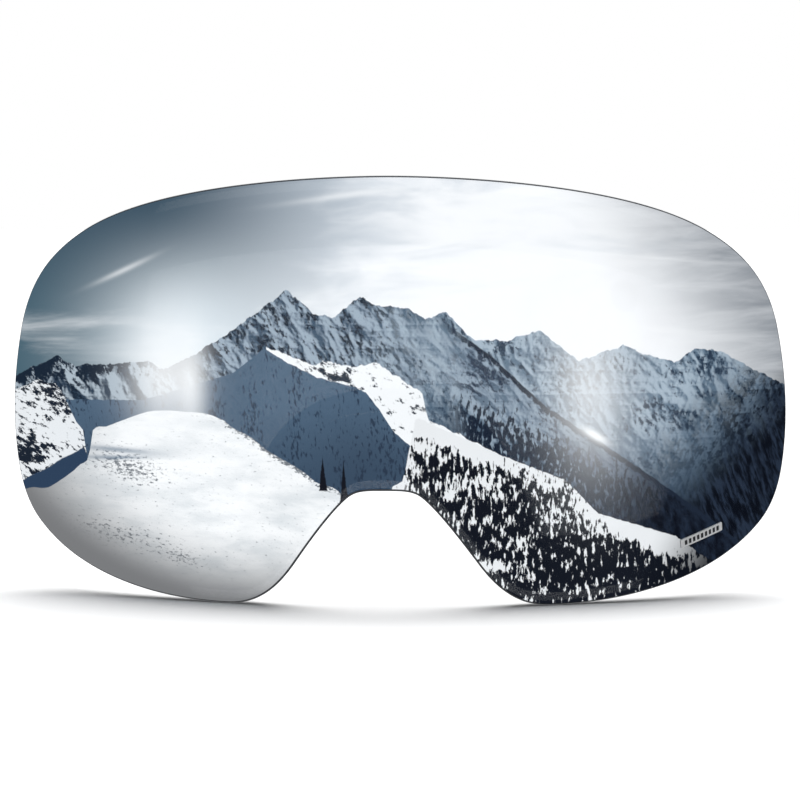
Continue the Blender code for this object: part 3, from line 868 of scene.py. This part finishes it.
def make_inner_lens():
    clear, shader, wire = finish("clear_acetate", roughness=0.02)
    haze = spot_on(wire).noise(22, 3).between(0.4, 0.8)
    feed(shader, haze.blend((0.05, 0.055, 0.06), (0.07, 0.075, 0.08)), "Base Color")
    see_through(clear, shader, wire, (0.97, 0.975, 0.98), 0.03)
    trimmed, shader, wire = finish("trimmed_acetate", roughness=0.35)
    nicks = spot_on(wire).noise(1800, 2)
    feed(shader, nicks.blend((0.16, 0.17, 0.18), (0.3, 0.31, 0.33)), "Base Color")
    grain(shader, nicks, 0.3, 0.00004)
    chamfered, full = outline(INNER_INSET + LENS_CHAMFER, 1), outline(INNER_INSET, 1)
    loops = [
        (chamfered, INNER_FRONT),
        (full, INNER_FRONT + LENS_CHAMFER),
        (full, INNER_BACK - LENS_CHAMFER),
        (chamfered, INNER_BACK),
    ]
    lens = piece("inner_lens_sheet", plate(loops, [0, 1, 1, 1, 0], LENS_GRID), [clear, trimmed])
    drill = bmesh.new()
    bmesh.ops.create_cone(
        drill, cap_ends=True, segments=48, radius1=VENT_HOLE_RADIUS, radius2=VENT_HOLE_RADIUS,
        depth=4 * INNER_THICKNESS, matrix=seat(VENT_U, VENT_V, INNER_BACK, 0),
    )
    drill = piece("drill", drill, [trimmed, trimmed])
    cut = lens.modifiers.new("vent", "BOOLEAN")
    cut.operation, cut.solver, cut.object = "DIFFERENCE", "EXACT", drill
    bpy.context.view_layer.update()
    result = lens.evaluated_get(bpy.context.evaluated_depsgraph_get())
    drilled = bpy.data.meshes.new_from_object(result)
    lens.modifiers.remove(cut)
    lens.data = drilled
    bpy.data.objects.remove(drill, do_unlink=True)
    drilled.shade_smooth()
    drilled.set_sharp_from_angle(angle=math.radians(32))
    true_curve(lens, (0,))
    settle(lens, "inner_lens")


make_inner_lens()


# ------------------------------------------------------------------ breather
# A disc of white porous membrane over the hole, on a ring of transfer tape. It lets air through and
# keeps water out.

VENT_RADIUS, VENT_BORE = 4 * MM, 2.2 * MM
VENT_RING, VENT_SKIN = 0.15 * MM, 0.25 * MM
VENT_ROUND = 0.08 * MM


def disc_outline(radius):
    turns = (2 * math.pi * side / 72 for side in range(72))
    return [Vector((VENT_U + radius * math.cos(turn), VENT_V + radius * math.sin(turn))) for turn in turns]


def make_breather():
    ring_front = INNER_BACK + FILM_GAP
    tape = bpy.data.materials["transfer_tape"]
    sides = ((VENT_RADIUS, 0), (VENT_BORE, 0), (VENT_BORE, VENT_RING), (VENT_RADIUS, VENT_RING))
    loops = [(disc_outline(radius), ring_front + back) for radius, back in sides]
    settle(piece("vent_tape_ring", ring(loops), [tape]), "vent_adhesive_ring")
    felt, shader, wire = finish("porous_membrane", roughness=0.75, Sheen_Weight=0.2)
    place = spot_on(wire)
    fibres = place.noise(3000, 5, 0.7, distortion=2)
    dimples = place.node("TexVoronoi", None, {"Vector": place, "Scale": 1400}).between(0.1, 0.35)
    feed(shader, (fibres * 0.6 + dimples * 0.4).blend((0.62, 0.62, 0.60), (0.88, 0.88, 0.87)), "Base Color")
    grain(shader, fibres + dimples, 0.5, 0.00006)
    front = ring_front + VENT_RING + FILM_GAP
    back = front + VENT_SKIN
    loops = [
        (disc_outline(VENT_RADIUS), front),
        (disc_outline(VENT_RADIUS), back - VENT_ROUND),
        (disc_outline(VENT_RADIUS - VENT_ROUND), back),
    ]
    settle(piece("vent_skin", plate(loops, [0, 0, 0, 0], 1 * MM), [felt]), "vent_membrane")


make_breather()


# ------------------------------------------------------------------ floor, surroundings, lights and camera
# A white studio sweep and a soft overhead light. What only mirrors see is a winter valley, laid out
# on the surrounding dome as a convex mirror that faces the camera gathers it.

CAMERA_TURN, CAMERA_RISE, CAMERA_DISTANCE = math.radians(3.58), math.radians(3.0), 0.7694
LOOK_BACK = Vector((
    math.sin(CAMERA_TURN) * math.cos(CAMERA_RISE),
    -math.cos(CAMERA_TURN) * math.cos(CAMERA_RISE),
    math.sin(CAMERA_RISE),
))
MIRROR_REACH = (105.3, 128.3)  # mm across and up the mirror for each unit that its normal leans
WHOLE_STRETCH, LEFT_STRETCH, LEFT_SQUEEZE = 1.016, 0.1, 0.0000137  # given, not worked out from the sheet's maths
AMBIENT = 0.2


def make_floor():
    chalk, shader, wire = finish("studio_floor", roughness=0.9)
    tone = spot_on(wire).noise(3, 2)
    feed(shader, tone.blend((0.93, 0.93, 0.935), (0.95, 0.95, 0.95)), "Base Color")
    flat = bmesh.new()
    bmesh.ops.create_grid(flat, x_segments=4, y_segments=4, size=60)
    for vert in flat.verts:
        vert.co.z = cad_box[0].z - 0.1 * MM
    floor = piece("studio_floor", flat, [chalk])
    floor.visible_glossy = False


def srgb(red, green, blue):
    """Linear light from the 0 to 255 values of a colour chart."""
    scaled = (value / 255 for value in (red, green, blue))
    return tuple(value / 12.92 if value <= 0.04045 else ((value + 0.055) / 1.055) ** 2.4 for value in scaled)


class Valley:
    """Colours of the winter valley at x along and z up, in millimetres of mirror as the camera sees it."""

    def __init__(self, wire, x, z):
        self.wire, self.x, self.z = wire, x, z

    def grain(self, seed, pitch_x, pitch_z, lean=0, roughness=0.6, kind="FBM", distortion=0, detail=7):
        """Noise with its own pitch along and up, and a lean for what runs down a slope."""
        parts = {0: (self.x + self.z * lean) / pitch_x, 1: self.z / pitch_z, 2: seed}
        return self.wire.node("CombineXYZ", None, parts).noise(1, detail, roughness, kind, distortion)

    def under(self, points, rough=0.0, pitch=5, seed=1, joints="LINEAR"):
        """How far a place is under a line through points, left to right, roughened by jags."""
        stops = [((along + 98) / 196, [up / 120 + 0.5] * 3) for along, up in points]
        settings = {"joints": joints, "stops": stops}
        level = self.wire.node("ValToRGB", settings, {"Fac": (self.x + 98) / 196})
        above = (level - 0.5) * 120
        if rough:
            jag = self.wire.node("CombineXYZ", None, {0: self.x / pitch, 1: seed, 2: 0})
            above = above + (jag.noise(1, 6, 0.6, distortion=0.2) - 0.5) * rough
        return above - self.z

    def spot(self, along, up, wide, high, turn=0):
        """A soft spot, wide along its turn."""
        cosine, sine = math.cos(math.radians(turn)), math.sin(math.radians(turn))
        across = ((self.x - along) * cosine + (self.z - up) * sine) / wide
        rise = ((self.z - up) * cosine - (self.x - along) * sine) / high
        reach = (across * across + rise * rise) * -1
        return reach.math("EXPONENT", reach)

    def slope(self, seed, dark, light, rock, bare, lean=0.5):
        """A snowy face with lit and shaded flanks, and bare rock over a share of it."""
        heights = []
        for step in (0, 0.5):
            moved = Valley(self.wire, self.x + step, self.z + step * 0.6)
            heights.append(moved.grain(seed, 15, 21, lean, 0.56, "RIDGED_MULTIFRACTAL", detail=5))
        lit = (heights[0] - heights[1]) * 1.7 + self.grain(seed + 0.5, 6, 9, lean)
        snow = lit.between(0.18, 0.82).blend(srgb(*dark), srgb(*light))
        crag = self.grain(seed + 1, 1.15, 1.8, lean, 0.75)
        patch = self.grain(seed + 2, 12, 9, lean)
        stone = (crag * 0.72 + patch * 0.5 - lit * 0.1 + bare - 1).between(-0.01, 0.06)
        return stone.blend(snow, srgb(*rock))

    def sky(self):
        """Teal at the left and top, grey at the right rim, and bright cloud between. The sky's deepening to
        dark teal towards the mirror's upper left edge and its grey at the right rim are painted shade.
        """
        x, z = self.x, self.z
        high = z.between(8, 44)
        # painted shade: the sky deepens to dark teal towards the mirror's left and upper edges
        side = x.between(0, -92).blend(srgb(238, 242, 246), srgb(70, 98, 112))
        zenith = x.between(6, -60).blend(srgb(204, 211, 219), srgb(58, 80, 96))
        haze = self.spot(-50, 9, 19, 17) * 0.95
        clear = haze.blend(high.blend(side, zenith), srgb(232, 240, 245))
        cloud = self.grain(3, 34, 9, -0.5, 0.58, distortion=0.7)
        wisp = self.grain(4, 30, 4.5, -0.7, 0.6, distortion=0.4)
        cover = x.between(-52, 34) * 0.68 + cloud * 0.95 + wisp * 0.25 - high * 0.26
        cloudy = (cover - 0.42).between(0.12, 0.68).blend(clear, srgb(254, 254, 255))
        # painted shade: the sky greys towards the mirror's right rim
        rim = (x * 0.9 + z * 0.5).between(54, 92) * (wisp.between(0.7, 0.35) * 0.3 + 0.7)
        return rim.blend(cloudy, srgb(130, 135, 142))

    def back_range(self, view):
        """The range behind, from the left rim over the two peaks to the right rim. Towards the mirror's
        lower right rim it turns into a darker copy and then into dark streaks, both painted shade.
        """
        x, z = self.x, self.z
        below = self.under((
            (-95, -1), (-86, 4.5), (-80, 7.4), (-76, 5.4), (-59, 6.8), (-55, 5), (-47, 9), (-41, 12.5),
            (-34, 17), (-25, 23.4), (-18, 18), (-12.5, 17.2), (-6, 22.2), (-3, 20), (5, 19.4), (9, 16.8),
            (13.5, 18.6), (20, 12.2), (27, 12), (35, 14.2), (43.5, 7.4), (54, 10.8), (58, 8.6), (65, 6.8),
            (70, 9.6), (76, 8.8), (82, 5), (91, 0.3),
        ), 2.8, 2.4, 1)
        bare = x.between(10, -50) * 0.02 + 0.43
        peaks = self.slope(11, (64, 84, 104), (160, 175, 189), (26, 36, 50), bare)
        middle = self.slope(15, (98, 118, 136), (168, 183, 196), (44, 58, 76), 0.4, 0.25)
        right = self.slope(19, (42, 54, 70), (98, 115, 132), (16, 22, 33), 0.45, -0.3)
        bare = below.between(6, 0) * 0.1 + 0.42
        left = self.slope(23, (48, 64, 82), (176, 188, 198), (28, 40, 55), bare, 0.3)
        faces = x.between(-8, 18).blend(peaks, middle)
        # painted shade: a darker copy of the slope takes over towards the mirror's lower right rim
        faces = (x - z).between(64, 90).blend(faces, right)
        faces = x.between(-40, -52).blend(faces, left)
        faces = (below.between(10, 32) * 0.6).blend(faces, srgb(78, 97, 116))
        view = below.between(-0.1, 0.12).blend(view, faces)
        # painted shade: a near black streaked fill at the mirror's lower right rim
        gullies_in_painted_shade = self.grain(31, 1.2, 5, 0.35, 0.65).between(0.42, 0.62)
        return (x - z).between(80, 99).blend(view, gullies_in_painted_shade.blend(srgb(13, 17, 26), srgb(40, 50, 66)))

    def near_side(self, view):
        """The nearer mountainside at the right, under a crest of trees, with more trees at its foot. It
        darkens towards the mirror's lower right rim as painted shade.
        """
        x, z = self.x, self.z
        below = self.under((
            (-98, -60), (6, -60), (8, 20), (24, 8.6), (36, -2.6), (48, -10.6), (58, -17.6), (70, -26.5),
            (98, -50),
        ), 1.4, 2, 2)
        bare = below.between(7, 0) * 0.06 + 0.39
        face = self.slope(35, (94, 112, 130), (150, 165, 179), (46, 58, 76), bare)
        # painted shade: the face darkens towards the mirror's lower right rim
        face = (x - z).between(36, 84).blend(face, srgb(70, 84, 103))
        above_foot = self.under(((-98, 9), (0, 0), (24, -9), (42, -17), (66, -30), (98, -46)))
        trees = self.grain(37, 0.8, 2.4) + above_foot.between(-11, 0) * 0.22
        face = trees.between(0.63, 0.69).blend(face, srgb(30, 39, 54))
        # painted shade: a dark streaked fill nearest the mirror's lower right rim
        painted_rim_shade = self.grain(38, 2, 5, 0.3, 0.65).between(0.4, 0.66).blend(srgb(15, 19, 29), srgb(36, 46, 62))
        face = (x - z).between(66, 92).blend(face, painted_rim_shade)
        crest = below.between(3.4, 0.4) * (self.grain(39, 0.9, 1.9) + x.between(0, 30) * 0.1)
        face = crest.between(0.4, 0.5).blend(face, srgb(32, 41, 56))
        return (below.between(-0.15, 0.15) * x.between(10, 20)).blend(view, face)

    def sunlit_shoulder(self, view):
        """The band of lit snow and rock that runs down from the middle."""
        below = self.under((
            (-98, -60), (-31.5, -60), (-30.5, 10.8), (-24, 8.6), (-18, 6.4), (-15, 7.6), (-8, 6.2),
            (-2, 7.2), (3, 3.8), (8.5, 0.4), (9.5, -5.4), (26, -13.6), (30, -60), (98, -60),
        ), 2.6, 2.0, 3)
        stone = self.grain(41, 2.6, 2.2, 0.6, 0.7) + self.spot(-12, 4.5, 5, 2.2, -25) * 0.12
        stone = stone.between(0.56, 0.62) * self.x.between(-26, -16)
        return below.between(-0.1, 0.15).blend(view, stone.blend(srgb(250, 251, 252), srgb(34, 44, 58)))

    def shaded_face(self, view):
        """The smooth blue face below that band."""
        below = self.under((
            (-98, -3), (-60, -2), (-38, 4.6), (-30.4, 10.2), (-25, 7.2), (-17, 3.8), (-7, 1.6), (-4.5, 0.4),
            (-1.5, -3.2), (2, -8.4), (8, -13.4), (12, -22), (16, -60), (98, -60),
        ), 1.0, 1.8, 4)
        face = self.grain(51, 26, 18).blend(srgb(70, 92, 113), srgb(92, 113, 135))
        face = self.z.between(0, -24).blend(face, srgb(62, 80, 100))
        face = (self.spot(-6, -15, 12, 10) * 0.35).blend(face, srgb(44, 58, 76))
        pits = self.grain(53, 0.7, 1.8, 0.1) + self.grain(54, 4, 30).between(0.4, 0.66) * 0.12
        face = (pits.between(0.59, 0.69) * 0.8).blend(face, srgb(40, 51, 69))
        return below.between(-0.12, 0.12).blend(view, face)

    def forest(self, view):
        """Conifers crowded on lit snow at the right, darkened towards the mirror's rim as painted shade."""
        x, z = self.x, self.z
        below = self.under((
            (-98, -60), (-6, -60), (-2, -22.5), (4, -19.5), (7, -5), (26, -13.6), (41, -19.6), (48, -27.2),
            (66, -33.2), (72, -38), (98, -52),
        ), 1.2, 1.6, 5)
        cover = self.grain(61, 9, 6, 0.4, 0.55) * 0.5 + below.between(0.5, 5.5) * 0.08
        cover = cover + x.between(20, 60) * 0.07 + z.between(-26, -46) * 0.03
        cover = cover + self.spot(22, -26, 16, 9, -40) * 0.05
        cover = cover - self.spot(57, -31.5, 10, 2.4, -27) * 0.4 - self.spot(17, -10, 11, 2.2, -27) * 0.4
        trees = (self.grain(63, 0.85, 2.7) + cover - 0.262).between(0.53, 0.575)
        wood = trees.blend(srgb(238, 239, 240), srgb(21, 25, 34))
        # painted shade: near black towards the mirror's lower right rim
        wood = ((x - z * 0.5).between(76, 94) * 0.94).blend(wood, srgb(13, 17, 25))
        return below.between(-0.1, 0.1).blend(view, wood)

    def left_hill(self, view):
        """A rocky snow hill at the left rim, over a shaded hollow."""
        below = self.under((
            (-98, -4), (-90, -1.2), (-84.5, 1.8), (-80, 0.8), (-78.2, -2.2), (-76, -7.2), (-73.6, -10.4),
            (-72.6, -60), (98, -60),
        ), 0.9, 1.6, 6)
        foot = ((-98, -26), (-88, -22), (-81, -17.6), (-74.8, -13.6), (-72, -9), (98, 40))
        hollow = self.under(foot, 0.6, 2, 7, "CARDINAL")
        stone = self.grain(71, 1.6, 1.6, 0.7, 0.7) + self.spot(-87, -15, 7, 4, 30) * 0.14
        stone = stone + self.spot(-80, -2, 8, 4, -40) * 0.1 - self.spot(-80, -10, 5, 3, 20) * 0.12
        hill = stone.between(0.54, 0.58).blend(srgb(236, 238, 240), srgb(30, 38, 50))
        hill = hollow.between(-0.15, 0.15).blend(hill, srgb(48, 66, 90))
        return below.between(-0.1, 0.1).blend(view, hill)

    def snow_dome(self, view):
        """The wind-packed dome in front, greyed towards the mirror's edge as painted shade, and greyer
        underfoot.
        """
        x, z = self.x, self.z
        below = self.under((
            (-98, -28), (-87.7, -24.2), (-82, -23), (-76, -18.4), (-73, -15.6), (-72, -9.4), (-68, -8),
            (-59.5, -4.8), (-50, -4.4), (-43, -5.2), (-39, -7.4), (-31, -12), (-19, -18.8), (-9, -25),
            (-3, -44), (3, -60),
        ), 0.3, 3, 8, "CARDINAL")
        drift = self.grain(81, 15, 5, 0.55)
        snow = drift.between(0.3, 0.62).blend(srgb(228, 231, 233), srgb(254, 254, 254))
        pits = self.grain(83, 1.1, 0.62, 0.4, 0.72) + self.spot(-25, -14.4, 14, 2, -29) * 0.11
        pits = pits + self.spot(-64, -17.5, 9, 3.4, -14) * 0.14 + self.spot(-68, -33, 12, 3, -10) * 0.1
        pits = pits + self.spot(-52, -38, 6, 2, -15) * 0.1
        pits = pits + below.between(1.6, 0.3) * x.between(-50, -38) * 0.09
        snow = (pits.between(0.6, 0.67) * 0.85).blend(snow, srgb(64, 74, 86))
        bank = self.spot(-66, -13.6, 9, 0.7, -3) + self.spot(-67, -15.4, 8, 0.5, 2)
        snow = (bank * 0.7).blend(snow, srgb(96, 118, 140))
        # painted shade: the snow greys away from its middle, towards the mirror's edge
        out, down = (x + 30) / 62, (z + 10) / 38
        snow = (out * out + down * down).between(0.26, 1.06).blend(snow, srgb(124, 124, 125))
        view = below.between(-0.1, 0.1).blend(view, snow)
        underfoot = drift.between(0.3, 0.7).blend(srgb(120, 122, 125), srgb(176, 178, 181))
        return z.between(-54, -66).blend(view, underfoot)

    def two_conifers(self, view):
        """Two firs that stand against the shaded face."""
        for along, foot, tall in ((-15.6, -22.0, 8.6), (-10.2, -25.0, 11)):
            up = (self.z - foot) / tall
            half = (1 - up) * 1.25 * (self.grain(along, 0.8, 0.6) * 0.9 + 0.55)
            inside = (half - abs(self.x - along)).between(0, 0.25)
            inside = inside * up.between(0, 0.04) * up.between(1, 0.96)
            view = inside.blend(view, srgb(24, 26, 34))
        return view

    def shine(self, view):
        """Light from the studio's two strips, and the sun's streaks in the high cloud."""
        light = self.spot(-55, 4, 8, 13) * 0.8 + self.spot(-48, 1, 3.4, 12) * 0.45
        light = light + self.spot(46, 1, 8.5, 17, 4) * 0.62 + self.spot(47.5, -9.6, 3.4, 0.9, -32) * 0.7
        light = light + self.spot(-65, 27.4, 6.6, 0.62, 25) * 0.5 + self.spot(-9, 44.6, 14, 0.7, 7) * 0.5
        light = light + self.spot(40, 32, 30, 0.4, -5) * 0.35 + self.spot(62, 14, 12, 0.8, -6) * 0.3
        return light.math("MINIMUM", light, 1).blend(view, (1.0, 1.0, 1.0))

    def colour(self):
        view = self.sky()
        for layer in (
            self.back_range,
            self.near_side,
            self.sunlit_shoulder,
            self.shaded_face,
            self.forest,
            self.left_hill,
            self.snow_dome,
            self.two_conifers,
            self.shine,
        ):
            view = layer(view)
        return view


def make_surroundings():
    world = bpy.data.worlds.new("studio")
    bpy.context.scene.world = world
    world.use_nodes = True
    tree = world.node_tree
    tree.nodes.clear()
    wire = Wire(tree)
    way = wire.node("TexCoord")
    half = wire.node("VectorMath", {"operation": "SUBTRACT"}, {0: way, 1: -LOOK_BACK})
    half = wire.node("VectorMath", {"operation": "NORMALIZE"}, {0: half})
    parts = [wire.node("SeparateXYZ", None, {0: half}, out=axis) for axis in (0, 2)]
    x, z = parts[0] * MIRROR_REACH[0], parts[1] * MIRROR_REACH[1]
    x = x * (x.between(5, -20) * (LEFT_STRETCH - x * x * LEFT_SQUEEZE) + WHOLE_STRETCH)
    scenery = Valley(wire, x, z).colour()
    behind = wire.node("SeparateXYZ", None, {0: way}, out=1).between(0.5, 0.9)
    scenery = behind.blend(scenery, (0.55, 0.57, 0.6))
    rays = {label: wire.node("LightPath", out=number) for label, number in (("camera", 0), ("glossy", 3))}
    ambient = wire.node("Background", None, {"Color": (1, 1, 1, 1), "Strength": AMBIENT})
    plain = wire.node("Background", None, {"Color": (1, 1, 1, 1), "Strength": 1.0})
    scenery = wire.node("Background", None, {"Color": scenery, "Strength": 1.2})
    mixed = wire.node("MixShader", None, {0: rays["camera"], 1: ambient, 2: plain})
    mixed = wire.node("MixShader", None, {0: rays["glossy"], 1: mixed, 2: scenery})
    output = tree.nodes.new("ShaderNodeOutputWorld")
    tree.links.new(mixed.socket, output.inputs["Surface"])


def make_light():
    lamp = bpy.data.lights.new("overhead", "SUN")
    lamp.energy, lamp.angle = 4.2, math.radians(56)
    soft = bpy.data.objects.new("overhead", lamp)
    soft.rotation_euler = (math.radians(-16), math.radians(2), 0)
    soft.visible_glossy = False
    bpy.context.collection.objects.link(soft)


def make_camera():
    lens = bpy.data.cameras.new("camera")
    lens.lens, lens.sensor_width = 150, 36
    camera = bpy.data.objects.new("camera", lens)
    target = Vector((0.0020, APEX + 0.025, -0.0026))
    camera.location = target + LOOK_BACK * CAMERA_DISTANCE
    camera.rotation_euler = LOOK_BACK.to_track_quat("Z", "Y").to_euler()
    bpy.context.collection.objects.link(camera)
    bpy.context.scene.camera = camera


make_floor()
make_surroundings()
make_light()
make_camera()
bpy.context.scene.view_settings.view_transform = "Standard"
